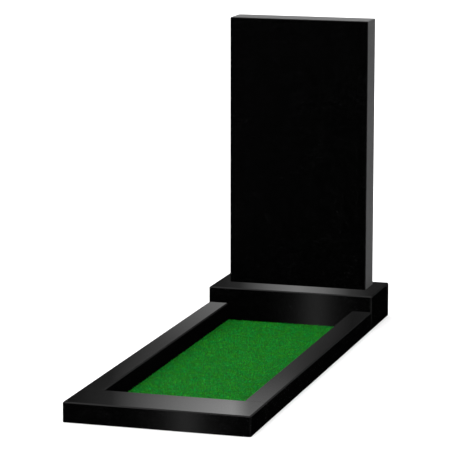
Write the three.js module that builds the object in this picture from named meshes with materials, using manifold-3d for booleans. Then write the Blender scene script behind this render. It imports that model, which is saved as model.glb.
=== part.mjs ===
// A grave memorial in black granite: a plain rectangular headstone that stands on a plinth, and a
// low kerb of three bars in front of it, round a bed that is laid with short artificial turf.
//
// Millimetres. +X is to the right of someone who faces the headstone, +Y runs from the foot of the
// grave to its head, and +Z is up. The origin is on the ground, in the middle of the footprint.
// Each stone is sawn flat below and has a small chamfer, the arris, along its other free edges.

import * as THREE from 'three';
import { ConvexGeometry } from 'three/addons/geometries/ConvexGeometry.js';
import { mergeVertices } from 'three/addons/utils/BufferGeometryUtils.js';
import Module from 'manifold-3d';

// Headstone: a plain slab on its short edge
const HEADSTONE_WIDTH = 420;
const HEADSTONE_THICKNESS = 90;
const HEADSTONE_HEIGHT = 800;
const HEADSTONE_ARRIS = 2;

// Plinth: the ledges are what shows of its top, in front of the headstone, behind it and beside it
const PLINTH_HEIGHT = 100;
const PLINTH_FRONT_LEDGE = 85;
const PLINTH_BACK_LEDGE = 40;
const PLINTH_SIDE_LEDGE = 40;
const PLINTH_ARRIS = 3;

// Kerb: two side bars, flush with the plinth's sides, run from it to a wider bar at the foot
const KERB_HEIGHT = 54;
const SIDE_BAR_LENGTH = 1105;
const SIDE_BAR_WIDTH = 60;
const FRONT_BAR_WIDTH = 145;
const KERB_ARRIS = 3;

// Turf: a short mat that lies on the ground inside the kerb, cut to fill the bed but for a hair's breadth
const TURF_THICKNESS = 6;
const TURF_CLEARANCE = 0.4;

// The setting joint between two stones
const JOINT_GAP = 0.3;

// Sizes that follow from the ones above
const plinthWidth = HEADSTONE_WIDTH + 2 * PLINTH_SIDE_LEDGE;
const plinthDepth = PLINTH_FRONT_LEDGE + HEADSTONE_THICKNESS + PLINTH_BACK_LEDGE;
const bedWidth = plinthWidth - 2 * SIDE_BAR_WIDTH;
const bedLength = JOINT_GAP + SIDE_BAR_LENGTH + JOINT_GAP;
const overallDepth = plinthDepth + bedLength + FRONT_BAR_WIDTH;

// Places along Y, from the head of the grave to its foot
const plinthFrontY = overallDepth / 2 - plinthDepth;
const frontBarBackY = plinthFrontY - bedLength;

// Finishes
const polishedGranite = new THREE.MeshStandardMaterial({ color: 0x0b0b0c, roughness: 0.12, metalness: 0 });
const honedGranite = new THREE.MeshStandardMaterial({ color: 0x17171a, roughness: 0.3, metalness: 0 });
const turfGreen = new THREE.MeshStandardMaterial({ color: 0x1f7326, roughness: 0.9, metalness: 0 });

const wasm = await Module();
wasm.setup();

// A block that stands on z = 0 with the middle of its underside at the origin, chamfered along its
// upright edges and round its top. The end named in plainEnd butts against another stone and keeps
// its sharp edges: FRONT is the end towards the foot of the grave, BACK the end towards its head.
const FRONT = -1;
const BACK = 1;

function arrisedBlock(width, depth, height, arris, plainEnd) {
  const points = [];
  for (const side of [-1, 1]) {
    for (const end of [FRONT, BACK]) {
      const inset = end === plainEnd ? 0 : arris;
      const faceX = side * (width / 2);
      const faceY = end * (depth / 2);
      const insetX = side * (width / 2 - arris);
      const insetY = end * (depth / 2 - inset);
      for (const z of [0, height - arris]) {
        points.push(new THREE.Vector3(side * (width / 2 - inset), faceY, z));
        points.push(new THREE.Vector3(faceX, insetY, z));
      }
      points.push(new THREE.Vector3(insetX, insetY, height));
    }
  }
  return new ConvexGeometry(points);
}

function toSolid(geometry) {
  const bare = geometry.clone();
  bare.deleteAttribute('normal');
  bare.deleteAttribute('uv');
  const merged = mergeVertices(bare);
  return new wasm.Manifold(new wasm.Mesh({
    numProp: 3,
    vertProperties: merged.attributes.position.array,
    triVerts: new Uint32Array(merged.index.array),
  }));
}

function toGeometry(solid) {
  const { vertProperties, triVerts } = solid.getMesh();
  const geometry = new THREE.BufferGeometry();
  geometry.setAttribute('position', new THREE.BufferAttribute(vertProperties, 3));
  geometry.setIndex(new THREE.BufferAttribute(triVerts, 1));
  geometry.computeVertexNormals();
  return geometry;
}

// What the arris round the bed takes off the front bar: a shape whose left, right and front sides
// lean out at 45 degrees, so that its ends meet the side bars' arrises in the bed's two corners.
function bedArrisCutter() {
  const lowest = KERB_HEIGHT - KERB_ARRIS;
  const highest = KERB_HEIGHT + KERB_ARRIS;
  const points = [];
  for (const z of [lowest, highest]) {
    const lean = z - lowest;
    for (const side of [-1, 1]) {
      points.push(new THREE.Vector3(side * (bedWidth / 2 + lean), frontBarBackY - lean, z));
      points.push(new THREE.Vector3(side * (bedWidth / 2 + lean), plinthFrontY, z));
    }
  }
  return new ConvexGeometry(points);
}

function makeHeadstone() {
  const slab = arrisedBlock(HEADSTONE_WIDTH, HEADSTONE_THICKNESS, HEADSTONE_HEIGHT, HEADSTONE_ARRIS);
  const headstone = new THREE.Mesh(slab, honedGranite);
  headstone.name = 'headstone';
  const frontY = plinthFrontY + PLINTH_FRONT_LEDGE;
  headstone.position.set(0, frontY + HEADSTONE_THICKNESS / 2, PLINTH_HEIGHT + JOINT_GAP);
  return headstone;
}

function makePlinth() {
  const block = arrisedBlock(plinthWidth, plinthDepth, PLINTH_HEIGHT, PLINTH_ARRIS);
  const plinth = new THREE.Mesh(block, polishedGranite);
  plinth.name = 'plinth';
  plinth.position.set(0, plinthFrontY + plinthDepth / 2, 0);
  return plinth;
}

function makeSideBar(name, side) {
  const block = arrisedBlock(SIDE_BAR_WIDTH, SIDE_BAR_LENGTH, KERB_HEIGHT, KERB_ARRIS, FRONT);
  const bar = new THREE.Mesh(block, polishedGranite);
  bar.name = name;
  bar.position.set(side * (bedWidth / 2 + SIDE_BAR_WIDTH / 2), plinthFrontY - bedLength / 2, 0);
  return bar;
}

function makeFrontBar() {
  const block = arrisedBlock(plinthWidth, FRONT_BAR_WIDTH, KERB_HEIGHT, KERB_ARRIS, BACK);
  block.translate(0, frontBarBackY - FRONT_BAR_WIDTH / 2, 0);
  const cut = toSolid(block).subtract(toSolid(bedArrisCutter()));
  const bar = new THREE.Mesh(toGeometry(cut), polishedGranite);
  bar.name = 'front_kerb';
  return bar;
}

function makeKerb() {
  const kerb = new THREE.Group();
  kerb.add(makeSideBar('left_kerb', -1), makeSideBar('right_kerb', 1), makeFrontBar());
  return kerb;
}

function makeTurf() {
  const width = bedWidth - 2 * TURF_CLEARANCE;
  const length = bedLength - 2 * TURF_CLEARANCE;
  const turf = new THREE.Mesh(new THREE.BoxGeometry(width, length, TURF_THICKNESS), turfGreen);
  turf.name = 'turf_mat';
  turf.position.set(0, plinthFrontY - bedLength / 2, TURF_THICKNESS / 2);
  return turf;
}

const memorial = new THREE.Group();
memorial.add(makePlinth(), makeHeadstone(), makeKerb(), makeTurf());

export default memorial;
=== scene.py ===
# %% [markdown]
# # A grave memorial in black granite
# The real thing is a set of stones that a monumental mason saws, polishes and sets: an upright
# headstone, the plinth that it stands on, and three low bars that frame a bed. The bed is laid with
# short artificial turf. This lesson starts from the set's plain solids, which are already at their
# real size and place, and gives them the finish that the eye expects: polish, saw marks, eased edges
# and a pile of tens of thousands of green blades. Everything is in metres. +X is to the right of
# someone who faces the headstone, +Y runs from the foot of the grave to its head, and +Z is up.

# %% Load the solids
import itertools
import math

import bmesh
import bpy
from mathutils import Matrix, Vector


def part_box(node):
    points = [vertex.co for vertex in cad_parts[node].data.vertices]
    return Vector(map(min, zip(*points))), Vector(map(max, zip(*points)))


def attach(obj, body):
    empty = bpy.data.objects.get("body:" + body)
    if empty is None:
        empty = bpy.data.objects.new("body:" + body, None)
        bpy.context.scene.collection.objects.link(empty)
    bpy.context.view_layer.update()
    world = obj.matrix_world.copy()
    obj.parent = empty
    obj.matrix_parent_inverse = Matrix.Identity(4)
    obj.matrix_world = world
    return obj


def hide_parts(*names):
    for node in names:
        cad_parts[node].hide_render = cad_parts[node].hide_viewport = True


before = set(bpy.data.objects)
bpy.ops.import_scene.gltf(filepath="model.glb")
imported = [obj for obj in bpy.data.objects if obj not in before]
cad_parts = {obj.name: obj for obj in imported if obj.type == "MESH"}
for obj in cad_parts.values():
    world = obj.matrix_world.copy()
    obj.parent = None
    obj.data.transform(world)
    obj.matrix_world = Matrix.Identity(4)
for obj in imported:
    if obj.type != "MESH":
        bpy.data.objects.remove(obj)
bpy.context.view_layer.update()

MM = 0.001
print("solids:", sorted(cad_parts))

# %% [markdown]
# ## Where things are
# Later steps place things against the stones, so it pays to read the few places that matter from the
# frame once and to give them names. Typed numbers would do too, but they would stay behind if a stone
# changed its size. Names that are read from the solids follow them.

# %% Name the places that matter
plinth_low, plinth_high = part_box("plinth")
headstone_low, headstone_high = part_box("headstone")
front_bar_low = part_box("front_kerb")[0]
turf_low, turf_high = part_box("turf_mat")
print("the plinth's front is at y =", round(plinth_low.y, 4), "m")
print("the turf is", round((turf_high.z - turf_low.z) / MM, 2), "mm thick with its backing")

# %% [markdown]
# ## The camera
# The picture that this set is matched to was taken from far away through a long lens: the headstone's
# upright edges stay parallel and the bed narrows only a little. A camera can be dragged into place by
# eye, but then nobody can say where it stands. Here it is computed from a direction, kept as an
# azimuth and an elevation as a surveyor would note them, a point to look at, and a distance.

# %% Place the camera
CAMERA_AZIMUTH = 17.04  # degrees to the right of straight in front
CAMERA_ELEVATION = 10.62  # degrees above the horizon
CAMERA_DISTANCE = 7.757
AIM_X = -0.2001  # the point at the middle of the picture, in the plane of the plinth's front
AIM_HEIGHT = 0.2897
PICTURE_SIDE = 450  # pixels along each side of the picture
FOCAL_PIXELS = 2610  # the focal length in the same pixels
SENSOR_MM = 36.0
FARTHEST_SEEN = 100.0


def towards(azimuth, elevation):
    """The unit vector that points to that azimuth and elevation, with azimuth 0 along -Y."""
    turn = math.radians(azimuth)
    rise = math.radians(elevation)
    return Vector((math.sin(turn) * math.cos(rise), -math.cos(turn) * math.cos(rise), math.sin(rise)))


def new_object(name, data):
    """An object that holds this mesh, lamp or camera, linked into the scene."""
    thing = bpy.data.objects.new(name, data)
    bpy.context.scene.collection.objects.link(thing)
    return thing


camera = new_object("camera", bpy.data.cameras.new("camera"))
camera.data.sensor_width = SENSOR_MM
camera.data.lens = SENSOR_MM * FOCAL_PIXELS / PICTURE_SIDE
camera.data.clip_end = FARTHEST_SEEN
aim = Vector((AIM_X, plinth_low.y, AIM_HEIGHT))
back = towards(CAMERA_AZIMUTH, CAMERA_ELEVATION)
camera.location = aim + back * CAMERA_DISTANCE
camera.rotation_mode = "QUATERNION"
camera.rotation_quaternion = (-back).to_track_quat("-Z", "Y")
bpy.context.scene.camera = camera
print("the camera is at", [round(c, 3) for c in camera.location], "m")
print("its lens is", round(camera.data.lens, 1), "mm long")

# %% [markdown]
# ## Small helpers for node trees
# A material, a world and a geometry node group are all trees of nodes. Each could be written out node
# by node and link by link, but a recipe of forty nodes is then two hundred lines that say little. Two
# short helpers keep it readable: one adds a node and sets its options and its inputs, and the other
# adds a Math node whose inputs may be numbers or other nodes' outputs. The first tree that they fill
# is the world's, and its first node gives the direction of each ray that leaves the set.

# %% Helpers for node trees, and the world's tree
def add_node(tree, kind, inputs=None, **options):
    """A new node with its options set, and its inputs either set to a value or linked."""
    node = tree.nodes.new(kind)
    for name, value in options.items():
        setattr(node, name, value)
    for key, value in (inputs or {}).items():
        if isinstance(value, bpy.types.NodeSocket):
            tree.links.new(value, node.inputs[key])
        else:
            node.inputs[key].default_value = value
    return node


def add_math(tree, operation, *values):
    """A Math node's output, from numbers or other outputs."""
    return add_node(tree, "ShaderNodeMath", dict(enumerate(values)), operation=operation).outputs[0]


world = bpy.data.worlds.new("studio")
world.use_nodes = True
bpy.context.scene.world = world
sky = world.node_tree
sky.nodes.clear()
direction = add_node(sky, "ShaderNodeTexCoord").outputs["Generated"]
ray_x, ray_y, ray_z = add_node(sky, "ShaderNodeSeparateXYZ", {"Vector": direction}).outputs
print("the world's tree starts with", [node.name for node in sky.nodes])

# %% [markdown]
# ## The studio
# A product picture on white is mostly light management. The floor is a plain pale sheet. A white dome
# lights it evenly, and one large soft lamp from above gives the stones a faint shadow to stand on.
# Polished black stone is a mirror, so it would show the white dome and turn grey. Photographers keep
# it black with dark flags round the set. Flags could be modelled as panels, but they would throw
# shadows and stand in the way of other views. The world plays their part instead, because it knows
# what kind of ray is asking: the camera sees white, and a reflected ray sees a dark room. A world is
# a function of direction alone, so the room is a little sum on the ray's X, Y and Z. Its ceiling is
# bright. Its walls are dim, and nearly black where the level faces look in the main view.

# %% The dark room's ceiling and walls
CEILING_GLOW = 0.45  # what a reflected ray sees straight above
CEILING_STARTS = 0.3  # the ray's Z where the ceiling starts to glow
CEILING_FULL = 0.95  # and where it glows in full
WALL_GLOW = 0.12  # what it sees above the horizon, all round the set
FAR_WALL_GLOW = 0.012  # what it sees there behind the set, as the camera looks
FAR_WALL_STARTS = 0.8  # the cosine of the angle from straight behind the set where it starts
FAR_WALL_FULL = 0.95  # and where it is as dark as it gets


def fade(tree, value, start, end, low, high, curve="SMOOTHSTEP"):
    """A number that goes from low to high while the value goes from start to end."""
    return add_node(
        tree,
        "ShaderNodeMapRange",
        {"Value": value, "From Min": start, "From Max": end, "To Min": low, "To Max": high},
        interpolation_type=curve,
    ).outputs["Result"]


ceiling = fade(sky, ray_z, CEILING_STARTS, CEILING_FULL, 0.0, CEILING_GLOW)
behind_set = add_node(
    sky,
    "ShaderNodeVectorMath",
    {0: direction, 1: -towards(CAMERA_AZIMUTH, 0.0)},
    operation="DOT_PRODUCT",
).outputs["Value"]
wall = fade(sky, behind_set, FAR_WALL_STARTS, FAR_WALL_FULL, WALL_GLOW, FAR_WALL_GLOW)
walls = add_math(sky, "MULTIPLY", add_math(sky, "GREATER_THAN", ray_z, 0.0), wall)
print("the room's walls glow", WALL_GLOW, "and its ceiling", CEILING_GLOW)

# %% [markdown]
# A room with even walls would leave the upright faces flat and dull from the side. Two things help:
# soft windows low down at the sides and in the corners, where upright faces look from a camera that
# stands a little higher, and upright bands of light round the walls. A power of X is such a window,
# because it is nearly nothing except close to the X axis, and a sine of the azimuth makes the bands.

# %% The room's windows and bands of light
SIDE_WINDOW_GLOW = 0.2
SIDE_WINDOW_POWER = 8.0  # the higher, the narrower
CORNER_WINDOW_GLOW = 0.5
CORNER_WINDOW_POWER = 10.0
BAND_COUNT = 50.0  # bands of light round the room, so each is about seven degrees wide
BAND_DEPTH = 0.75  # how much they swell and fade at the horizon

side_window = add_math(sky, "POWER", add_math(sky, "ABSOLUTE", ray_x), SIDE_WINDOW_POWER)
cornerwise = add_math(sky, "ABSOLUTE", add_math(sky, "MULTIPLY", ray_x, ray_y))
corner_window = add_math(sky, "POWER", add_math(sky, "MULTIPLY", cornerwise, 2.0), CORNER_WINDOW_POWER)
both_windows = add_math(
    sky,
    "ADD",
    add_math(sky, "MULTIPLY", side_window, SIDE_WINDOW_GLOW),
    add_math(sky, "MULTIPLY", corner_window, CORNER_WINDOW_GLOW),
)
windows = add_math(sky, "MULTIPLY", both_windows, add_math(sky, "LESS_THAN", ray_z, 0.0))
plain_room = add_math(sky, "ADD", add_math(sky, "ADD", ceiling, windows), walls)

around = add_math(sky, "ARCTAN2", ray_x, ray_y)
swell = add_math(sky, "SINE", add_math(sky, "MULTIPLY", around, BAND_COUNT))
band_share = add_math(sky, "MULTIPLY_ADD", add_math(sky, "ABSOLUTE", ray_z), -BAND_DEPTH, BAND_DEPTH)
room = add_math(sky, "MULTIPLY", plain_room, add_math(sky, "MULTIPLY_ADD", swell, band_share, 1.0))
print("each band of light is", round(360 / BAND_COUNT, 1), "degrees wide")

# %% [markdown]
# The room is for reflections alone. A Light Path node says what kind of ray has reached the world,
# and two switches pick what it sees: the dome for dull surfaces, the room for reflected rays, and
# plain white for the camera. The view transform is Standard, because the picture is a drawing whose
# colours were never shaped by a film or a camera.

# %% What each kind of ray sees
DOME_GLOW = 1.6  # what lights the dull surfaces
BACKGROUND_GLOW = 1.0  # what the camera sees


def choose(tree, switch, off, on):
    """A Mix node's number: off where the switch is 0, and on where it is 1."""
    return add_node(tree, "ShaderNodeMix", {0: switch, 2: off, 3: on}, data_type="FLOAT").outputs[0]


ray_kind = add_node(sky, "ShaderNodeLightPath").outputs
seen = choose(sky, ray_kind["Is Glossy Ray"], DOME_GLOW, room)
seen = choose(sky, ray_kind["Is Camera Ray"], seen, BACKGROUND_GLOW)
glow = add_node(sky, "ShaderNodeBackground", {"Color": (1.0, 1.0, 1.0, 1.0), "Strength": seen})
add_node(sky, "ShaderNodeOutputWorld", {"Surface": glow.outputs[0]})
bpy.context.scene.view_settings.view_transform = "Standard"
print("the world shows the camera white, and reflections a dark room, with", len(sky.nodes), "nodes")

# %% [markdown]
# The floor could be left out, since the background is as white as it is, but then the set would
# float. A plain square takes the faint shadows. It is so wide that its far edge never shows, and it
# stays out of reflections, because the dark room has no white floor.

# %% The floor
FLOOR_SIDE = 60.0
FLOOR_DROP = 0.3 * MM  # the floor lies this far under the stones, so that no two faces coincide
FLOOR_WHITE = (0.92, 0.92, 0.92, 1.0)


def start_material(name):
    """An empty material, and its tree to fill."""
    material = bpy.data.materials.new(name)
    material.use_nodes = True
    material.node_tree.nodes.clear()
    return material, material.node_tree


def finish_material(tree, shader):
    """Joins the last shader to the material's output."""
    add_node(tree, "ShaderNodeOutputMaterial", {"Surface": shader.outputs[0]})


half = FLOOR_SIDE / 2
floor_plan = [(-half, -half), (half, -half), (half, half), (-half, half)]
floor_mesh = bpy.data.meshes.new("floor")
floor_mesh.from_pydata([(x, y, -FLOOR_DROP) for x, y in floor_plan], [], [(0, 1, 2, 3)])
floor_paint, paint_tree = start_material("floor white")
finish_material(paint_tree, add_node(paint_tree, "ShaderNodeBsdfDiffuse", {"Color": FLOOR_WHITE}))
floor_mesh.materials.append(floor_paint)
floor = new_object("floor", floor_mesh)
floor.visible_glossy = False
print("the floor is", FLOOR_SIDE, "m wide")

# %% [markdown]
# The dome alone gives no shadow to speak of. A sun lamp that looks sixty degrees wide is a soft box
# overhead: its light comes from one side, and its shadows have no edge.

# %% The soft lamp
LAMP_STRENGTH = 0.6
LAMP_ANGLE = 60.0  # how wide the lamp looks from the set, in degrees: the wider, the softer
LAMP_AZIMUTH = -40.0
LAMP_ELEVATION = 62.0

lamp = new_object("soft lamp", bpy.data.lights.new("soft lamp", "SUN"))
lamp.data.energy = LAMP_STRENGTH
lamp.data.angle = math.radians(LAMP_ANGLE)
lamp.rotation_mode = "QUATERNION"
lamp.rotation_quaternion = (-towards(LAMP_AZIMUTH, LAMP_ELEVATION)).to_track_quat("-Z", "Y")
lamp.visible_glossy = False
print("the lamp looks", LAMP_ANGLE, "degrees wide")

# %% [markdown]
# ## What black granite is made of
# The trade calls it black granite, but it is gabbro: a tight jigsaw of crystals about a millimetre
# across, most of them black, some dark green-grey, a few pale. A picture of stone could be wrapped
# round each block, but then its crystals would stop at every edge. Plain noise runs through the block
# but has no crystals. A Voronoi texture is such a jigsaw, because each of its cells has one random
# colour, and two sizes of cell, read from the object's own coordinates, give a grain that runs
# through the stone as it really does. Each stone has its own shift, as if cut from its own place.

# %% The grain of the stone
CRYSTAL_CELLS = 850.0  # cells in a metre, so about 1.2 mm a crystal
LATH_CELLS = 330.0  # the larger, paler laths, about 3 mm
LATH_SHARE = 0.28  # how much the laths decide of a place's tone
CLOUD_CELLS = 22.0  # slow changes of tone, over a hand's breadth
CLOUD_DETAIL = 3.0
CLOUD_SHARE = 0.16
GRAIN_TILT = (0.4, 0.7, 0.2)  # turns the cells' grid away from the stone's faces, in radians


def add_ramp(tree, factor, stops):
    """A Color Ramp's colour output. Each stop is a position and a grey or a colour."""
    ramp = add_node(tree, "ShaderNodeValToRGB", {"Fac": factor})
    elements = ramp.color_ramp.elements
    while len(elements) < len(stops):
        elements.new(1.0)  # its real position is set below
    for element, (position, colour) in zip(elements, stops):
        element.position = position
        element.color = (*colour, 1.0) if hasattr(colour, "__len__") else (colour, colour, colour, 1.0)
    return ramp.outputs["Color"]


def cell_number(tree, place, cells, channel):
    """A number for each cell of a jigsaw, which is one channel of the cell's random colour."""
    jigsaw = add_node(tree, "ShaderNodeTexVoronoi", {"Vector": place, "Scale": cells})
    return add_node(tree, "ShaderNodeSeparateColor", {0: jigsaw.outputs["Color"]}).outputs[channel]


def add_noise(tree, place, cells, detail):
    """A noise between 0 and 1, with so many cells in a metre."""
    inputs = {"Vector": place, "Scale": cells, "Detail": detail}
    return add_node(tree, "ShaderNodeTexNoise", inputs).outputs["Fac"]


def places_in(tree, cut_from):
    """The stone's own coordinates, and those of the block that it was cut from."""
    place = add_node(tree, "ShaderNodeTexCoord").outputs["Object"]
    inputs = {"Vector": place, "Location": cut_from, "Rotation": GRAIN_TILT}
    return place, add_node(tree, "ShaderNodeMapping", inputs).outputs["Vector"]


def grain_of(tree, in_block):
    """The number that says which kind of crystal a place is in: the higher, the paler."""
    crystal = cell_number(tree, in_block, CRYSTAL_CELLS, "Red")
    lath = cell_number(tree, in_block, LATH_CELLS, "Green")
    cloud = add_noise(tree, in_block, CLOUD_CELLS, CLOUD_DETAIL)
    number = add_math(
        tree,
        "ADD",
        add_math(tree, "MULTIPLY", crystal, 1.0 - LATH_SHARE),
        add_math(tree, "MULTIPLY", lath, LATH_SHARE),
    )
    clouding = add_math(tree, "MULTIPLY_ADD", cloud, CLOUD_SHARE, -CLOUD_SHARE / 2)
    return add_math(tree, "ADD", number, clouding)


print("a crystal is about", round(1000 / CRYSTAL_CELLS, 1), "mm across")

# %% [markdown]
# ## Three finishes
# The same stone looks quite different by its finish. Polished faces are nearly black mirrors. Honed
# faces, ground flat but not polished, scatter light and look dark grey, as the headstone's side does
# in the picture. Sawn faces, which nobody sees, keep the shallow arcs that the saw's disc left. They
# could be one material with masks, but a mason finishes a stone face by face, and a material for each
# finish, set face by face, says just that. All share the grain above. What changes is the crystals'
# colour, the roughness and the bump. First the polish: its bump is a wave of a hundredth of a
# millimetre, because no polished slab is a perfect plane, and a mirror shows it.

# %% Polished granite
POLISHED_CRYSTALS = [
    (0.0, (0.0002, 0.0002, 0.0002)),
    (0.55, (0.0004, 0.0004, 0.0004)),
    (0.78, (0.001, 0.0011, 0.001)),
    (0.92, (0.004, 0.004, 0.0042)),
    (1.0, (0.02, 0.02, 0.021)),
]
HARD_CRYSTAL_ROUGHNESS = 0.045
SOFT_CRYSTAL_ROUGHNESS = 0.085
POLISH_WAVES = 9.0  # swells of a polished face in a metre
POLISH_WAVE_DETAIL = 1.0
POLISH_WAVE_HEIGHT = 0.01 * MM
STONE_IOR = 1.55


def finish_surface(tree, inputs, height=None, distance=MM, strength=1.0):
    """Ends a material with a Principled shader, and with a bump if there is a height to follow."""
    if height is not None:
        rules = {"Height": height, "Distance": distance, "Strength": strength}
        inputs = {**inputs, "Normal": add_node(tree, "ShaderNodeBump", rules).outputs["Normal"]}
    finish_material(tree, add_node(tree, "ShaderNodeBsdfPrincipled", inputs))


def polished_granite(name, cut_from):
    """Polished stone: a dark mirror, a little duller on the softer crystals."""
    material, tree = start_material(name)
    place, in_block = places_in(tree, cut_from)
    grain = grain_of(tree, in_block)
    colour = add_ramp(tree, grain, POLISHED_CRYSTALS)
    rough = fade(tree, grain, 0.0, 1.0, HARD_CRYSTAL_ROUGHNESS, SOFT_CRYSTAL_ROUGHNESS, "LINEAR")
    wave = add_noise(tree, place, POLISH_WAVES, POLISH_WAVE_DETAIL)
    skin = {"Base Color": colour, "Roughness": rough, "IOR": STONE_IOR}
    finish_surface(tree, skin, wave, POLISH_WAVE_HEIGHT)
    return material


print("polish is", HARD_CRYSTAL_ROUGHNESS, "to", SOFT_CRYSTAL_ROUGHNESS, "rough")

# %% [markdown]
# The other two finishes share a recipe. A saw disc swings across the block about its axle, and each
# pass leaves an arc. A Wave texture in rings, centred far outside the stone on that axle, is the same
# drawing. Honing takes most of the arcs away and leaves a fine tooth, so the honed faces have the
# same arcs at a tenth of the depth. The arcs also darken the stone's colour a little, more where they
# are deeper.

# %% Honed and sawn granite
HONED_CRYSTALS = [
    (0.0, (0.036, 0.036, 0.037)),
    (0.5, (0.054, 0.054, 0.055)),
    (0.8, (0.077, 0.078, 0.078)),
    (1.0, (0.14, 0.14, 0.142)),
]
SAWN_CRYSTALS = [
    (0.0, (0.045, 0.045, 0.046)),
    (0.5, (0.068, 0.068, 0.069)),
    (0.8, (0.095, 0.096, 0.096)),
    (1.0, (0.16, 0.16, 0.162)),
]
MATT_FINISHES = {  # the crystals' colours, the roughness, and how deep the arcs are
    "honed": (HONED_CRYSTALS, 0.46, 0.003 * MM),
    "honed lightly": (HONED_CRYSTALS, 0.48, 0.012 * MM),
    "sawn": (SAWN_CRYSTALS, 0.62, 0.02 * MM),
}
DEEP_ARC = 0.03 * MM  # arcs this deep darken the stone in full
DEEP_ARC_TONE = 0.86
ARC_SPACING = 4.5 * MM  # from one pass mark to the next
WAVES_AT_SCALE_1 = 20.0 / (2.0 * math.pi)  # what Blender's Wave texture makes of a metre at scale 1
ARC_WOBBLE = 2.5  # how much the disc wandered
ARC_WOBBLE_DETAIL = 2.0
ARC_WOBBLE_SCALE = 3.0
TOOTH_CELLS = 1600.0  # cells in a metre of the grinding tooth
TOOTH_DETAIL = 2.0
TOOTH_HEIGHT = 0.035 * MM
DISC_OFFSET = 1.35  # from the stone's middle to the saw disc's axle
DISC_SHIFT = 0.25  # how far off centre the disc runs, so that the arcs lie a little askew
AXLES = {
    "X": Vector((0, DISC_OFFSET, DISC_SHIFT)),
    "Y": Vector((DISC_OFFSET, 0, -DISC_SHIFT)),
    "Z": Vector((DISC_OFFSET, DISC_SHIFT, 0)),
}


def matt_granite(name, cut_from, finish, saw_axis, stone_middle):
    """Ground or sawn stone: a fine tooth all over, and the arcs of a disc that turned about saw_axis."""
    crystals, roughness, arc_height = MATT_FINISHES[finish]
    material, tree = start_material(name)
    place, in_block = places_in(tree, cut_from)
    colour = add_ramp(tree, grain_of(tree, in_block), crystals)
    from_axle = add_node(
        tree, "ShaderNodeMapping", {"Vector": place, "Location": -(stone_middle + AXLES[saw_axis])}
    ).outputs["Vector"]
    arcs = add_node(
        tree,
        "ShaderNodeTexWave",
        {
            "Vector": from_axle,
            "Scale": 1.0 / (ARC_SPACING * WAVES_AT_SCALE_1),
            "Distortion": ARC_WOBBLE,
            "Detail": ARC_WOBBLE_DETAIL,
            "Detail Scale": ARC_WOBBLE_SCALE,
        },
        wave_type="RINGS",
        rings_direction=saw_axis,
        wave_profile="SIN",
    ).outputs["Fac"]
    arc_tone = add_ramp(tree, arcs, [(0.0, DEEP_ARC_TONE), (1.0, 1.0)])
    shaded = add_node(
        tree,
        "ShaderNodeMix",
        {0: arc_height / DEEP_ARC, 6: colour, 7: arc_tone},
        data_type="RGBA",
        blend_type="MULTIPLY",
    ).outputs[2]
    tooth = add_noise(tree, in_block, TOOTH_CELLS, TOOTH_DETAIL)
    height = add_math(
        tree,
        "ADD",
        add_math(tree, "MULTIPLY", arcs, arc_height / MM),
        add_math(tree, "MULTIPLY", tooth, TOOTH_HEIGHT / MM),
    )
    finish_surface(tree, {"Base Color": shaded, "Roughness": roughness, "IOR": STONE_IOR}, height)
    return material


print("matt finishes:", ", ".join(MATT_FINISHES))

# %% [markdown]
# ## Dressing the stones
# The frame's solids are exact, but their edges are razor sharp and their faces are loose triangles.
# A real arris is a narrow 45 degree face whose own two edges have been eased with a fine stone, and
# it is those eased edges that catch the light as thin bright lines. A rounded look could be faked in
# the shader, but the outline would stay sharp. So each stone is a copy of its solid: the copy's
# triangles are merged back into whole faces, each face is given the finish that its direction calls
# for, and a Bevel modifier rounds every edge by a fraction of a millimetre.

# %% Which way a face looks
SQUARE_ON = 0.99  # the cosine from which a face counts as square to a direction
SLANTING = 0.5  # and from which an arris counts as leaning that way
DIRECTIONS = {
    "left": Vector((-1, 0, 0)),
    "right": Vector((1, 0, 0)),
    "front": Vector((0, -1, 0)),
    "back": Vector((0, 1, 0)),
    "top": Vector((0, 0, 1)),
    "under": Vector((0, 0, -1)),
}


def facing(normal):
    """The direction that a face looks in, or which arris it is if it slants."""
    for name, axis in DIRECTIONS.items():
        if normal.dot(axis) > SQUARE_ON:
            return name
    return "front arris" if normal.dot(DIRECTIONS["front"]) > SLANTING else "arris"


leaning_forward = Vector((0, -1, 1)).normalized()
print("a face that leans forward by 45 degrees is called the", facing(leaning_forward))

# %% A helper that dresses a stone
EDGE_EASE = 0.4 * MM
EASE_SEGMENTS = 3
SAME_POINT = 0.001 * MM  # corners closer than this are one
FLAT_ANGLE = 1.0  # triangles that meet at less than this many degrees are one face
SHARP_ANGLE = 30.0  # edges that turn by more than this are eased


def dress_stone(node_name, piece_name, finishes):
    """A copy of a solid with whole faces, eased edges, and a finish for each direction."""
    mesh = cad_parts[node_name].data.copy()
    mesh.name = piece_name
    mesh.materials.clear()
    if "custom_normal" in mesh.attributes:
        mesh.attributes.remove(mesh.attributes["custom_normal"])
    shape = bmesh.new()
    shape.from_mesh(mesh)
    bmesh.ops.remove_doubles(shape, verts=shape.verts, dist=SAME_POINT)
    bmesh.ops.dissolve_limit(
        shape, angle_limit=math.radians(FLAT_ANGLE), verts=shape.verts, edges=shape.edges
    )
    materials = []
    for face in shape.faces:
        finish = finishes.get(facing(face.normal), finishes["other"])
        if finish not in materials:
            materials.append(finish)
        face.material_index = materials.index(finish)
        face.smooth = False
    for finish in materials:
        mesh.materials.append(finish)
    shape.to_mesh(mesh)
    shape.free()
    piece = new_object(piece_name, mesh)
    ease = piece.modifiers.new("eased edges", "BEVEL")
    ease.width = EDGE_EASE
    ease.segments = EASE_SEGMENTS
    ease.limit_method = "ANGLE"
    ease.angle_limit = math.radians(SHARP_ANGLE)
    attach(piece, "root")
    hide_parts(node_name)
    print(piece_name, "has", len(mesh.polygons), "whole faces in", len(materials), "finishes")
    return piece


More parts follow.
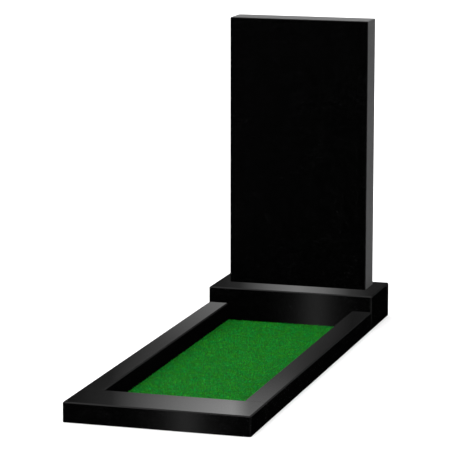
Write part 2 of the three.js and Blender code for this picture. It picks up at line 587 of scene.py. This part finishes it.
print("edges are eased by", round(EDGE_EASE / MM, 1), "mm in", EASE_SEGMENTS, "steps")

# %% [markdown]
# ## The headstone
# Masons polish the face that carries the inscription, with the arris round it, and leave the rest
# honed. That is what the picture shows: a black front beside a grey side and a lighter grey top. The
# back is seldom looked at, so it is honed lightly and the disc's arcs are plainer on it, and the foot
# stays as the saw left it. The front stays bare, which is how such a stone is sold.

# %% The headstone
HEADSTONE_CUT = (0.31, 0.12, 0.77)  # where in the block it was cut
headstone_middle = (headstone_low + headstone_high) / 2
front_polish = polished_granite("headstone polished front", HEADSTONE_CUT)
headstone_finishes = {
    "front": front_polish,
    "front arris": front_polish,
    "back": matt_granite("headstone honed back", HEADSTONE_CUT, "honed lightly", "Y", headstone_middle),
    "under": matt_granite("headstone sawn foot", HEADSTONE_CUT, "sawn", "Z", headstone_middle),
    "other": matt_granite("headstone honed sides", HEADSTONE_CUT, "honed", "X", headstone_middle),
}
headstone = dress_stone("headstone", "headstone_slab", headstone_finishes)

# %% [markdown]
# ## The plinth and the kerb
# These four are polished on every face that can be seen. The plinth's back and all the undersides,
# and the ends where two stones meet, stay as the saw left them. Four near copies of the headstone's
# step would do the job, but what differs fits in a table of four rows: the piece's name, the place in
# the block that it was cut from, and its sawn sides.

# %% The plinth and the three bars
POLISHED_STONES = {
    "plinth": ("plinth_block", (1.13, 0.42, 0.05), ("back", "under")),
    "left_kerb": ("left_kerb_bar", (0.27, 1.61, 0.44), ("front", "back", "under")),
    "right_kerb": ("right_kerb_bar", (1.87, 0.93, 0.36), ("front", "back", "under")),
    "front_kerb": ("front_kerb_bar", (0.66, 0.21, 1.34), ("under",)),
}

polished_pieces = {}
for node_name, (piece_name, cut_from, sawn_sides) in POLISHED_STONES.items():
    low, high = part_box(node_name)
    sawn = matt_granite(f"{piece_name} sawn", cut_from, "sawn", "Z", (low + high) / 2)
    finishes = {side: sawn for side in sawn_sides}
    finishes["other"] = polished_granite(f"{piece_name} polished", cut_from)
    polished_pieces[node_name] = dress_stone(node_name, piece_name, finishes)

# %% [markdown]
# ## Cards for the polished faces
# What one sees in polished stone is whatever stands where the reflected ray goes. The picture shows
# soft bands of light: one along the tops of the kerb, one on the plinth's ledge and a narrow one on
# each front. They could be painted into the stone, but then they would stick to it in every view. In
# a studio each comes from a white card, flagged so that it reaches one stone only. Blender calls that
# light linking: a card's receiver collection names the stones that it lights. The cards shine only
# into reflections, so no camera and no dull surface sees them. They are see-through and each stands
# in a plane of its own, so that none hides another. A card's emission is a ramp along its width times
# a ramp up its height, which gives the band its soft edges.

# %% A helper that makes a card
CARD_CORNERS = [(0, 0), (1, 0), (1, 1), (0, 1)]


def light_card(name, low_corner, high_corner, strength, across_stops, up_stops, stones):
    """A glowing rectangle, in a plane of constant y, that only reflections in the named stones see."""
    reach = high_corner - low_corner
    corners = [low_corner + Vector((u * reach.x, 0, v * reach.z)) for u, v in CARD_CORNERS]
    mesh = bpy.data.meshes.new(name)
    mesh.from_pydata(corners, [], [(0, 1, 2, 3)])
    card_map = mesh.uv_layers.new(name="card")
    for loop, corner in zip(card_map.data, CARD_CORNERS):
        loop.uv = corner
    material, tree = start_material(name)
    on_card = add_node(tree, "ShaderNodeSeparateXYZ", {0: add_node(tree, "ShaderNodeUVMap").outputs[0]})
    across = add_ramp(tree, on_card.outputs["X"], across_stops)
    upward = add_ramp(tree, on_card.outputs["Y"], up_stops)
    brightness = add_math(tree, "MULTIPLY", add_math(tree, "MULTIPLY", across, upward), strength)
    light = add_node(tree, "ShaderNodeEmission", {"Strength": brightness})
    clear = add_node(tree, "ShaderNodeBsdfTransparent")
    both = add_node(tree, "ShaderNodeAddShader", {0: light.outputs[0], 1: clear.outputs[0]})
    finish_material(tree, both)
    material.cycles.emission_sampling = "NONE"
    mesh.materials.append(material)
    card = new_object(name, mesh)
    card.visible_camera = False
    card.visible_diffuse = False
    card.visible_transmission = False
    card.visible_volume_scatter = False
    card.visible_shadow = False
    receivers = bpy.data.collections.new(f"{name} receivers")
    for stone in stones:
        receivers.objects.link(stone)
    card.light_linking.receiver_collection = receivers
    print(name, "lights", [stone.name for stone in stones])


print("a card is one face with", len(CARD_CORNERS), "corners")

# %% [markdown]
# A card can be placed by working the picture backwards: from a pixel, through the mirror image of the
# camera in the polished face, to the plane that the card stands in. The functions below do that for a
# level face and for a front face, so a band is put where it belongs by its pixel.

# %% Where a reflected ray goes
def ray_through(pixel):
    """The direction from the camera through a pixel of the picture."""
    middle = PICTURE_SIDE / 2
    in_camera = Vector((pixel[0] - middle, middle - pixel[1], -FOCAL_PIXELS))
    return (camera.rotation_quaternion @ in_camera).normalized()


def seen_in_top(pixel, top_z, card_y):
    """Where the ray, mirrored in a level face at height top_z, meets the plane y = card_y."""
    heading = ray_through(pixel)
    hit = camera.location + heading * ((top_z - camera.location.z) / heading.z)
    heading.z = -heading.z
    return hit + heading * ((card_y - hit.y) / heading.y)


def seen_in_front(pixel, front_y, card_y):
    """Where the ray, mirrored in an upright face at y = front_y, meets the plane y = card_y."""
    heading = ray_through(pixel)
    hit = camera.location + heading * ((front_y - camera.location.y) / heading.y)
    heading.y = -heading.y
    return hit + heading * ((card_y - hit.y) / heading.y)


through_middle = ray_through((PICTURE_SIDE / 2, PICTURE_SIDE / 2))
print("the middle of the picture is seen along", [round(c, 3) for c in through_middle])

# %% [markdown]
# The tops of the three bars are one level surface to the camera, so one card serves them all. It
# stands behind the set. Its lower part is mirrored far back on the side bars, and its upper part in
# the front bar, because the camera looks down on the near stones more steeply.

# %% The card for the kerb's tops
KERB_CARD_Y = 3.5
KERB_CARD_LEFT = -1.855
KERB_CARD_RIGHT = -0.417
KERB_CARD_BOTTOM = 0.45
KERB_CARD_TOP = 1.4
KERB_CARD_STRENGTH = 1.05
# From left to right: it rises along the front bar, and falls off again along the right bar
KERB_ACROSS = [
    (0.0, 0.0),
    (0.16, 0.05),
    (0.31, 0.41),
    (0.54, 1.0),
    (0.59, 0.45),
    (0.7, 0.42),
    (0.8, 0.2),
    (0.9, 0.04),
    (1.0, 0.05),
]
# From bottom to top: the side bars from their far ends to their near ends, and then the front bar
KERB_UP = [(0.0, 0.48), (0.3, 0.44), (0.45, 0.32), (0.5, 0.26), (0.6, 0.28), (0.67, 0.5), (0.78, 0.93)]

light_card(
    "card for the kerb tops",
    Vector((KERB_CARD_LEFT, KERB_CARD_Y, KERB_CARD_BOTTOM)),
    Vector((KERB_CARD_RIGHT, KERB_CARD_Y, KERB_CARD_TOP)),
    KERB_CARD_STRENGTH,
    KERB_ACROSS,
    KERB_UP,
    [polished_pieces[name] for name in ("left_kerb", "right_kerb", "front_kerb")],
)

# %% [markdown]
# The plinth's ledge lies higher than the kerb and has a band of its own, in the middle. This card's
# corners come from two pixels, by the function above.

# %% The card for the plinth's ledge
PLINTH_CARD_Y = 3.7
LEDGE_BAND_LEFT = (208, 250)  # pixels: opposite corners of what the card has to cover
LEDGE_BAND_RIGHT = (388, 330)
PLINTH_CARD_STRENGTH = 0.52
EVEN = [(0.0, 1.0), (1.0, 1.0)]
# From left to right: one swell of light, round the middle of the ledge
PLINTH_ACROSS = [
    (0.0, 0.03),
    (0.18, 0.11),
    (0.36, 0.7),
    (0.5, 1.0),
    (0.64, 0.74),
    (0.79, 0.17),
    (0.9, 0.05),
]

light_card(
    "card for the plinth top",
    seen_in_top(LEDGE_BAND_LEFT, plinth_high.z, PLINTH_CARD_Y),
    seen_in_top(LEDGE_BAND_RIGHT, plinth_high.z, PLINTH_CARD_Y),
    PLINTH_CARD_STRENGTH,
    PLINTH_ACROSS,
    EVEN,
    [polished_pieces["plinth"]],
)

# %% [markdown]
# The fronts of plinth and kerb each show a narrow upright band, and the two aren't in line. Two
# cards could make them, but the two pixels turn out to mirror nearly the same place in front of the
# set, so one strip makes both, as it would in a studio.

# %% The card for the fronts
FRONT_CARD_Y = -6.7
FRONT_BAND = (316, 303)  # the pixel in the middle of the band on the plinth's front
FRONT_CARD_WIDTH = 0.56
FRONT_CARD_BELOW = 0.35  # how far it reaches down from what that pixel mirrors
FRONT_CARD_ABOVE = 0.16  # and up
FRONT_CARD_STRENGTH = 0.5
FRONT_ACROSS = [(0.0, 0.0), (0.3, 0.12), (0.5, 1.0), (0.7, 0.12), (1.0, 0.0)]

strip_middle = seen_in_front(FRONT_BAND, plinth_low.y, FRONT_CARD_Y)
light_card(
    "card for the fronts",
    strip_middle + Vector((-FRONT_CARD_WIDTH / 2, 0, -FRONT_CARD_BELOW)),
    strip_middle + Vector((FRONT_CARD_WIDTH / 2, 0, FRONT_CARD_ABOVE)),
    FRONT_CARD_STRENGTH,
    FRONT_ACROSS,
    EVEN,
    list(polished_pieces.values()),
)

KERB_FRONT_BAND = (188, 416)  # the pixel in the middle of the band on the kerb's front
kerb_strip = seen_in_front(KERB_FRONT_BAND, front_bar_low.y, FRONT_CARD_Y)
print("the two bands mirror places", round((kerb_strip - strip_middle).length, 2), "m apart, on one card")

# %% [markdown]
# The headstone's top is honed, not polished, and it is seen almost edge on. At such a slant even a
# matt face shines, and the picture shows it as the palest face of all. A broad card behind the set
# gives it that shine.

# %% The card for the headstone's top
HEADSTONE_CARD_Y = 3.9
HEADSTONE_CARD_LEFT = -2.6
HEADSTONE_CARD_RIGHT = 1.0
HEADSTONE_CARD_BOTTOM = 1.0
HEADSTONE_CARD_TOP = 2.4
HEADSTONE_CARD_STRENGTH = 1.2
HEADSTONE_ACROSS = [(0.0, 0.0), (0.3, 1.0), (0.7, 1.0), (1.0, 0.0)]
HEADSTONE_UP = [(0.0, 1.0), (0.6, 1.0), (1.0, 0.0)]

light_card(
    "card for the headstone top",
    Vector((HEADSTONE_CARD_LEFT, HEADSTONE_CARD_Y, HEADSTONE_CARD_BOTTOM)),
    Vector((HEADSTONE_CARD_RIGHT, HEADSTONE_CARD_Y, HEADSTONE_CARD_TOP)),
    HEADSTONE_CARD_STRENGTH,
    HEADSTONE_ACROSS,
    HEADSTONE_UP,
    [headstone],
)

# %% [markdown]
# The picture shows no stone mirrored in another. Real stones do mirror their neighbours, and a
# photographer would retouch that. Here the stones are simply kept out of reflected rays.

# %% Keep the stones out of each other's reflections
for stone in (headstone, *polished_pieces.values()):
    stone.visible_glossy = False
print("kept out of reflections:", 1 + len(polished_pieces), "stones")

# %% [markdown]
# ## The turf's backing
# Artificial turf is a tufted carpet: yarn is stitched in rows through a woven sheet, and the loops
# are cut. The sheet could be left out, since the pile hides it, but at the mat's edge and between the
# tufts one would look at the bare ground. So it is a piece of its own, under a millimetre and a half
# thick. The mat is cut to fill the bed, so that hardly any ground shows round it. It lies with a slight
# waviness, as a mat does once it has been unrolled: a grid of points is raised by two slow sine
# waves, and Solidify gives it thickness.

# %% The turf's backing
BACKING_THICKNESS = 1.4 * MM
BACKING_LIFT = 0.25 * MM  # how far the sheet lifts off the ground at most
BACKING_CELL = 12 * MM
WAVES_ACROSS = 31.0  # radians in a metre
WAVES_ALONG = 23.0
turf_width = turf_high.x - turf_low.x
turf_length = turf_high.y - turf_low.y
turf_middle = (turf_low + turf_high) / 2


def backing_height(x, y):
    """How far the sheet's underside lifts off the ground at a place."""
    wave = math.sin(WAVES_ACROSS * x) * math.sin(WAVES_ALONG * y)
    return turf_low.z + BACKING_LIFT * (1.0 + wave) / 2.0


cells_across = round(turf_width / BACKING_CELL)
cells_along = round(turf_length / BACKING_CELL)
sheet = bmesh.new()
bmesh.ops.create_grid(sheet, x_segments=cells_across, y_segments=cells_along, size=0.5)
for point in sheet.verts:
    x = turf_middle.x + point.co.x * turf_width
    y = turf_middle.y + point.co.y * turf_length
    point.co = Vector((x, y, backing_height(x, y)))
backing_mesh = bpy.data.meshes.new("turf_backing")
sheet.to_mesh(backing_mesh)
sheet.free()
backing = new_object("turf_backing", backing_mesh)
thicken = backing.modifiers.new("thickness", "SOLIDIFY")
thicken.thickness = BACKING_THICKNESS
thicken.offset = 1.0
print("the backing is", round(turf_width, 4), "by", round(turf_length, 4), "m")

# %% [markdown]
# The backing is woven from flat tapes. Each tape could be a strip of mesh, but they are narrower than
# the blades that hide them, so a bump is enough: a sine across times a sine along is a plain weave.
# Along the edge, where the pile starts, the sheet is painted a little brighter: partly a paler selvage,
# partly a painted highlight along the mat's edge.

# %% The backing's material
WARP_TAPES = 620.0  # tapes in a metre, across the mat
WEFT_TAPES = 540.0  # and along it
TAPE_HEIGHT = 0.15 * MM
TAPE_STRENGTH = 0.6  # how much of that height the bump shows
PALE_EDGE_REACH = 5.0 * MM  # how far in the paler edge, selvage and painted highlight, reaches
PALE_EDGE_FULL = 3.0 * MM  # and how far in it is at its brightest
BACKING_GREEN = (0.012, 0.06, 0.014, 1.0)
SELVAGE_AND_HIGHLIGHT_GREEN = (0.014, 0.1, 0.018, 1.0)
BACKING_ROUGHNESS = 0.85
BACKING_SHINE = 0.1

backing_cloth, cloth = start_material("turf backing weave")
cloth_place = add_node(cloth, "ShaderNodeTexCoord").outputs["Object"]
on_cloth = add_node(cloth, "ShaderNodeSeparateXYZ", {0: cloth_place}).outputs


def inside_edge(coordinate, middle, width):
    """How far a place is inside the mat's edge, along one axis."""
    off_middle = add_math(cloth, "ABSOLUTE", add_math(cloth, "SUBTRACT", coordinate, middle))
    return add_math(cloth, "SUBTRACT", width / 2, off_middle)


nearest_edge = add_math(
    cloth,
    "MINIMUM",
    inside_edge(on_cloth["X"], turf_middle.x, turf_width),
    inside_edge(on_cloth["Y"], turf_middle.y, turf_length),
)
# painted highlight: the sheet's colour is paler along the mat's edge, partly a selvage and partly a
# painted highlight
selvage_and_highlight_share = fade(cloth, nearest_edge, PALE_EDGE_REACH, PALE_EDGE_FULL, 0.0, 1.0, "LINEAR")
cloth_colour = add_node(
    cloth, "ShaderNodeMix", {0: selvage_and_highlight_share, 6: BACKING_GREEN, 7: SELVAGE_AND_HIGHLIGHT_GREEN}, data_type="RGBA"
).outputs[2]
warp = add_math(cloth, "SINE", add_math(cloth, "MULTIPLY", on_cloth["X"], 2 * math.pi * WARP_TAPES))
weft = add_math(cloth, "SINE", add_math(cloth, "MULTIPLY", on_cloth["Y"], 2 * math.pi * WEFT_TAPES))
crossing = add_math(cloth, "MULTIPLY", warp, weft)
cloth_skin = {
    "Base Color": cloth_colour,
    "Roughness": BACKING_ROUGHNESS,
    "Specular IOR Level": BACKING_SHINE,
}
finish_surface(cloth, cloth_skin, crossing, TAPE_HEIGHT, TAPE_STRENGTH)
backing.data.materials.append(backing_cloth)
print("a tape of the weave is", round(1000 / WARP_TAPES, 1), "mm wide")

# %% [markdown]
# ## The yarn's material
# The blades are slit plastic film, dull on its face, in a range of greens, and no two tufts take the
# light alike. A noise in space could vary the green, but it would cut across the blades. The pile's
# node tree, further down, writes three numbers onto each blade instead: one that its whole tuft
# shares, one of its own, and how far up the blade a point is. The material turns them into colour, so
# the shade belongs to the blade and stays with it in every view. Only the hue follows a noise: over a
# few centimetres it drifts between a warmer and a cooler green, as dyed yarn does from reel to reel.

# %% The yarn's material
YARN_DARK = (0.009, 0.268, 0.017)
YARN_MIDDLE = (0.014, 0.407, 0.028)
YARN_LIGHT = (0.034, 0.535, 0.06)
YARN_STOPS = [(0.1, YARN_DARK), (0.5, YARN_MIDDLE), (0.9, YARN_LIGHT)]
TUFT_SAY = 0.65  # how much the tuft decides of a blade's shade, and the rest is the blade's own
WARM_TINT = (1.65, 1.0, 0.55)
COOL_TINT = (0.35, 1.0, 1.35)
TINT_STOPS = [(0.36, COOL_TINT), (0.64, WARM_TINT)]
HUE_CELLS = 38.0  # drifts of hue in a metre
HUE_DETAIL = 1.0
ROOT_SHADE = 0.6  # how bright a blade's colour is painted at its root: painted shade for where its neighbours shade it
YARN_ROUGHNESS = 0.6
YARN_SHINE = 0.02


def add_vector_math(tree, operation, first, second):
    """A Vector Math node's vector, from vectors or other outputs."""
    return add_node(tree, "ShaderNodeVectorMath", {0: first, 1: second}, operation=operation).outputs[0]


def read_number(tree, name):
    """A number that the geometry carries, by its attribute's name."""
    return add_node(tree, "ShaderNodeAttribute", attribute_name=name).outputs["Fac"]


yarn, film = start_material("turf yarn")
blade_number = add_math(
    film,
    "ADD",
    add_math(film, "MULTIPLY", read_number(film, "tuft_shade"), TUFT_SAY),
    add_math(film, "MULTIPLY", read_number(film, "blade_shade"), 1.0 - TUFT_SAY),
)
film_green = add_ramp(film, blade_number, YARN_STOPS)
film_place = add_node(film, "ShaderNodeTexCoord").outputs["Object"]
tint = add_ramp(film, add_noise(film, film_place, HUE_CELLS, HUE_DETAIL), TINT_STOPS)
tinted = add_vector_math(film, "MULTIPLY", film_green, tint)
# painted shade: the blade's colour is darker towards its root, where its neighbours shade it
root_to_tip = fade(film, read_number(film, "blade_rise"), 0.0, 1.0, ROOT_SHADE, 1.0, "LINEAR")
film_skin = {
    "Base Color": add_vector_math(film, "MULTIPLY", tinted, root_to_tip),
    "Roughness": YARN_ROUGHNESS,
    "Specular IOR Level": YARN_SHINE,
}
finish_surface(film, film_skin)
print("the yarn's material has", len(film.nodes), "nodes")

# %% [markdown]
# ## The pile
# The pile could be a bump, but then the mat would be as flat as paint from low down, and hair
# particles aren't mesh, so they are lost when the model leaves Blender. Geometry Nodes make real
# blades from a few rules, and they are quick: one blade is modelled once, and the tree sets a copy of
# it wherever a rule says. The tree is a tool with named inputs, so the same tree can make a longer or
# a coarser turf. It starts with those inputs, and with a helper for random numbers: each use has a
# seed of its own, so that no two draws go together, and the mat comes out the same every time.

# %% The pile's tree and its inputs
PILE_INPUTS = {  # each input's kind, and its value unless another is given
    "Middle": ("NodeSocketVector", (0.0, 0.0, 0.0)),
    "Rows": ("NodeSocketInt", 10),
    "Stitches": ("NodeSocketInt", 10),
    "Row Gap": ("NodeSocketFloat", 5 * MM),
    "Stitch Gap": ("NodeSocketFloat", 5 * MM),
    "Blades": ("NodeSocketInt", 5),
    "Blade Height": ("NodeSocketFloat", 4.5 * MM),
    "Blade Width": ("NodeSocketFloat", 1.2 * MM),
    "Lean": ("NodeSocketFloat", 0.6),
    "Mat Low": ("NodeSocketVector", (-1.0, -1.0, -1.0)),
    "Mat High": ("NodeSocketVector", (1.0, 1.0, 1.0)),
    "Seed": ("NodeSocketInt", 1),
    "Yarn": ("NodeSocketMaterial", None),
}
pile_tree = bpy.data.node_groups.new("turf pile", "GeometryNodeTree")
pile_tree.interface.new_socket("Geometry", in_out="INPUT", socket_type="NodeSocketGeometry")
for name, (kind, start_value) in PILE_INPUTS.items():
    socket = pile_tree.interface.new_socket(name, in_out="INPUT", socket_type=kind)
    socket.default_value = start_value
pile_tree.interface.new_socket("Geometry", in_out="OUTPUT", socket_type="NodeSocketGeometry")
given = add_node(pile_tree, "NodeGroupInput").outputs
print("the pile's tree takes", ", ".join(PILE_INPUTS))

# %% Helpers for the pile's tree
draws = itertools.count(1)


def random_number(low, high):
    """A random number between two bounds, drawn anew for each point."""
    seed = add_math(pile_tree, "ADD", given["Seed"], float(next(draws)))
    bounds = {2: low, 3: high}  # the sockets for a plain number's bounds
    return add_node(
        pile_tree, "FunctionNodeRandomValue", {**bounds, "Seed": seed}, data_type="FLOAT"
    ).outputs[1]


def join_xyz(x, y, z):
    """A vector from three numbers or outputs."""
    return add_node(pile_tree, "ShaderNodeCombineXYZ", {"X": x, "Y": y, "Z": z}).outputs[0]


def set_points(geometry, **where):
    """The geometry with its points moved to a Position or by an Offset."""
    return add_node(pile_tree, "GeometryNodeSetPosition", {"Geometry": geometry, **where}).outputs[0]


def write_number(geometry, name, value):
    """The geometry with a number written on each point, for the material to read."""
    return add_node(
        pile_tree,
        "GeometryNodeStoreNamedAttribute",
        {"Geometry": geometry, "Name": name, "Value": value},
        data_type="FLOAT",
        domain="POINT",
    ).outputs[0]


print("the pile's tree starts with", [node.name for node in pile_tree.nodes])

# %% [markdown]
# One blade is a strip of film that bends over under its own weight. A flat strip would vanish when it
# is seen edge on, so it is a cone with three sides and one joint, flattened and bent along +X. That is
# ten triangles, and it must not be more, because there are tens of thousands of blades.

# %% One blade
BLADE_SIDES = 3
BLADE_JOINTS = 2
CORNER_REACH = 0.58  # from the middle of a three-sided blade to its corners, for a side of 1
BLADE_FLATNESS = 0.4  # its thickness, as a share of its width
BLADE_BEND = 0.35  # how far its tip hangs over, as a share of its height

spike = add_node(
    pile_tree,
    "GeometryNodeMeshCone",
    {
        "Vertices": BLADE_SIDES,
        "Side Segments": BLADE_JOINTS,
        "Radius Top": 0.0,
        "Radius Bottom": add_math(pile_tree, "MULTIPLY", given["Blade Width"], CORNER_REACH),
        "Depth": given["Blade Height"],
    },
    fill_type="NGON",
).outputs["Mesh"]
on_blade = add_node(pile_tree, "GeometryNodeInputPosition").outputs[0]
blade_x, blade_y, blade_z = add_node(pile_tree, "ShaderNodeSeparateXYZ", {0: on_blade}).outputs
rise = add_math(pile_tree, "DIVIDE", blade_z, given["Blade Height"])
overhang = add_math(pile_tree, "MULTIPLY", given["Blade Height"], BLADE_BEND)
bend = add_math(pile_tree, "MULTIPLY", add_math(pile_tree, "MULTIPLY", rise, rise), overhang)
bent = join_xyz(add_math(pile_tree, "MULTIPLY_ADD", blade_x, BLADE_FLATNESS, bend), blade_y, blade_z)
blade = set_points(write_number(spike, "blade_rise", rise), Position=bent)
print("a blade's tip hangs over by", BLADE_BEND, "of its height")

# %% [markdown]
# The tufting machine stitches straight rows, but yarn is springy, so no stitch is quite where the
# needle was. The tree makes a grid of points and nudges each a little. Then it gives each tuft its
# shade. Most of that comes from a noise that is stretched along the rows, because one needle uses one
# reel of yarn, and the rest is the tuft's own.

# %% The stitches
NUDGE_ACROSS = 0.9 * MM
NUDGE_ALONG = 1.1 * MM
REEL_CELLS = (300.0, 60.0, 1.0)  # changes of shade in a metre, across the rows and along them
REEL_CONTRAST = 2.4
REEL_SHIFT = -0.95  # brings the middle of the noise back to the middle shade
REEL_DETAIL = 1.0
TUFT_CONTRAST = 0.25

gaps_across = add_math(pile_tree, "SUBTRACT", given["Rows"], 1.0)
gaps_along = add_math(pile_tree, "SUBTRACT", given["Stitches"], 1.0)
width = add_math(pile_tree, "MULTIPLY", gaps_across, given["Row Gap"])
length = add_math(pile_tree, "MULTIPLY", gaps_along, given["Stitch Gap"])
grid = add_node(
    pile_tree,
    "GeometryNodeMeshGrid",
    {"Size X": width, "Size Y": length, "Vertices X": given["Rows"], "Vertices Y": given["Stitches"]},
)
stitches = add_node(
    pile_tree, "GeometryNodeMeshToPoints", {"Mesh": grid.outputs["Mesh"]}, mode="VERTICES"
).outputs[0]
nudge_x = random_number(-NUDGE_ACROSS, NUDGE_ACROSS)
nudge_y = random_number(-NUDGE_ALONG, NUDGE_ALONG)
nudge = join_xyz(nudge_x, nudge_y, 0.0)
stitches = set_points(stitches, Offset=add_vector_math(pile_tree, "ADD", given["Middle"], nudge))
at_stitch = add_node(pile_tree, "GeometryNodeInputPosition").outputs[0]
along_reel = add_vector_math(pile_tree, "MULTIPLY", at_stitch, REEL_CELLS)
reel_noise = add_noise(pile_tree, along_reel, 1.0, REEL_DETAIL)
reel_shade = add_math(pile_tree, "MULTIPLY_ADD", reel_noise, REEL_CONTRAST, REEL_SHIFT)
tuft_shade = add_math(pile_tree, "ADD", random_number(-TUFT_CONTRAST, TUFT_CONTRAST), reel_shade)
tufts = write_number(stitches, "tuft_shade", tuft_shade)
print("a stitch is nudged by up to", round(NUDGE_ALONG / MM, 1), "mm")

# %% [markdown]
# Each stitch leaves a tuft of cut blades that lean away from one another. So every point is copied
# once for each blade, the copies are set round the stitch, and each is turned to face outwards, which
# is the way that it will lean and bend.

# %% The blades of each tuft
BLADE_TWIST = 0.9  # how far a blade may stray from its place round the stitch, in radians
FROM_STITCH = (0.25 * MM, 1.0 * MM)  # how far a blade's root is from the stitch, at least and at most
LEAN_SPREAD = (0.45, 1.3)  # times the lean that the tree is given
SIDE_LEAN = 0.25
THICKNESS_SPREAD = (0.8, 1.2)  # times the one blade's thickness, width and height
WIDTH_SPREAD = (0.8, 1.25)
HEIGHT_SPREAD = (0.82, 1.04)

copies = add_node(
    pile_tree,
    "GeometryNodeDuplicateElements",
    {"Geometry": tufts, "Amount": given["Blades"]},
    domain="POINT",
).outputs
turn_share = add_math(pile_tree, "DIVIDE", copies["Duplicate Index"], given["Blades"])
even_turn = add_math(pile_tree, "MULTIPLY", turn_share, 2.0 * math.pi)
yaw = add_math(pile_tree, "ADD", even_turn, random_number(-BLADE_TWIST, BLADE_TWIST))
reach = random_number(*FROM_STITCH)
out_x = add_math(pile_tree, "MULTIPLY", add_math(pile_tree, "COSINE", yaw), reach)
out_y = add_math(pile_tree, "MULTIPLY", add_math(pile_tree, "SINE", yaw), reach)
roots = set_points(copies["Geometry"], Offset=join_xyz(out_x, out_y, 0.0))
roots = write_number(roots, "blade_shade", random_number(0.0, 1.0))
lean = add_math(pile_tree, "MULTIPLY", given["Lean"], random_number(*LEAN_SPREAD))
turned = join_xyz(random_number(-SIDE_LEAN, SIDE_LEAN), lean, yaw)
size = join_xyz(
    random_number(*THICKNESS_SPREAD), random_number(*WIDTH_SPREAD), random_number(*HEIGHT_SPREAD)
)
planted = add_node(
    pile_tree,
    "GeometryNodeInstanceOnPoints",
    {"Points": roots, "Instance": blade, "Rotation": turned, "Scale": size},
).outputs[0]
print("the tree has made", next(draws) - 1, "kinds of random draw")

# %% [markdown]
# A blade that leans into a stone lies against it instead. The tree could test each blade against each
# stone, but the bed is a box, and the mat fills it, so it is enough to hold every point inside the
# mat's own box. Realize Instances turns the copies into one mesh first.

# %% Hold the blades over the mat, and finish the tree
real = add_node(pile_tree, "GeometryNodeRealizeInstances", {0: planted}).outputs[0]
free_place = add_node(pile_tree, "GeometryNodeInputPosition").outputs[0]
below_high = add_vector_math(pile_tree, "MINIMUM", free_place, given["Mat High"])
in_box = add_vector_math(pile_tree, "MAXIMUM", below_high, given["Mat Low"])
finished = add_node(
    pile_tree,
    "GeometryNodeSetMaterial",
    {"Geometry": set_points(real, Position=in_box), "Material": given["Yarn"]},
)
add_node(pile_tree, "NodeGroupOutput", {0: finished.outputs[0]})
print("the pile's tree has", len(pile_tree.nodes), "nodes")

# %% [markdown]
# ## The mat, in four bands
# Pile like this is stitched about five millimetres apart both ways. One mesh of the whole mat would
# be three quarters of a million triangles, and that is slow to look at and to save. Four bands along
# the mat's length are each small enough to handle, and their seams fall between two stitches, where
# nothing shows.

# %% How the stitches are spaced
STITCH_SPACING = 5.15 * MM  # what the machine is set to, both ways
EDGE_MARGIN = 3.0 * MM  # from the mat's edge to the outermost stitch
BANDS = 4
stitched_width = turf_width - 2 * EDGE_MARGIN
stitched_length = turf_length - 2 * EDGE_MARGIN
rows = int(stitched_width / STITCH_SPACING) + 1
stitches_per_band = int((stitched_length / STITCH_SPACING + 1) / BANDS)
row_gap = stitched_width / (rows - 1)
stitch_gap = stitched_length / (BANDS * stitches_per_band - 1)
print("the pile has", rows, "rows of", BANDS * stitches_per_band, "stitches")
print("they are", round(row_gap / MM, 2), "and", round(stitch_gap / MM, 2), "mm apart")

# %% Grow the pile
BLADES_PER_TUFT = 5
FIRST_SEED = 40
SEED_STEP = 20  # more than the tree's kinds of random draw, so that no two bands share one
pile_root_z = turf_low.z + BACKING_THICKNESS


def grow_band(number):
    """One band of the pile, as a plain mesh on an object at the origin."""
    name = f"turf_pile_{number + 1}"
    piece = new_object(name, bpy.data.meshes.new(name))
    first_y = turf_middle.y - stitched_length / 2 + number * stitches_per_band * stitch_gap
    modifier = piece.modifiers.new("pile", "NODES")
    modifier.node_group = pile_tree
    values = {
        "Middle": (turf_middle.x, first_y + (stitches_per_band - 1) * stitch_gap / 2, pile_root_z),
        "Rows": rows,
        "Stitches": stitches_per_band,
        "Row Gap": row_gap,
        "Stitch Gap": stitch_gap,
        "Blades": BLADES_PER_TUFT,
        "Blade Height": turf_high.z - pile_root_z,
        "Mat Low": turf_low,
        "Mat High": turf_high,
        "Seed": FIRST_SEED + SEED_STEP * number,
        "Yarn": yarn,
    }
    for item in pile_tree.interface.items_tree:
        if item.item_type == "SOCKET" and item.in_out == "INPUT" and item.name in values:
            modifier[item.identifier] = values[item.name]
    bpy.context.view_layer.update()
    grown = piece.evaluated_get(bpy.context.evaluated_depsgraph_get())
    mesh = bpy.data.meshes.new_from_object(grown)
    piece.modifiers.remove(modifier)
    piece.data = mesh
    mesh.name = name
    mesh.calc_loop_triangles()
    tallest = max(point.co.z for point in mesh.vertices)
    print(name, "has", len(mesh.loop_triangles), "triangles and reaches", round(tallest / MM, 2), "mm")
    return piece


pile = [grow_band(number) for number in range(BANDS)]

# %% [markdown]
# ## Join the turf to the set
# The turf lies loose in the bed. Its backing is the sheet, cut to the size of the bed less a hair's
# breadth all round, and the four bands of pile go with it. Like the stones, the turf is kept out of
# reflections, because the picture shows no green in the polished stone.

# %% Join the turf to the set
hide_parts("turf_mat")
for piece in (backing, *pile):
    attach(piece, "root")
    piece.visible_glossy = False
print("the turf is", 1 + len(pile), "pieces")
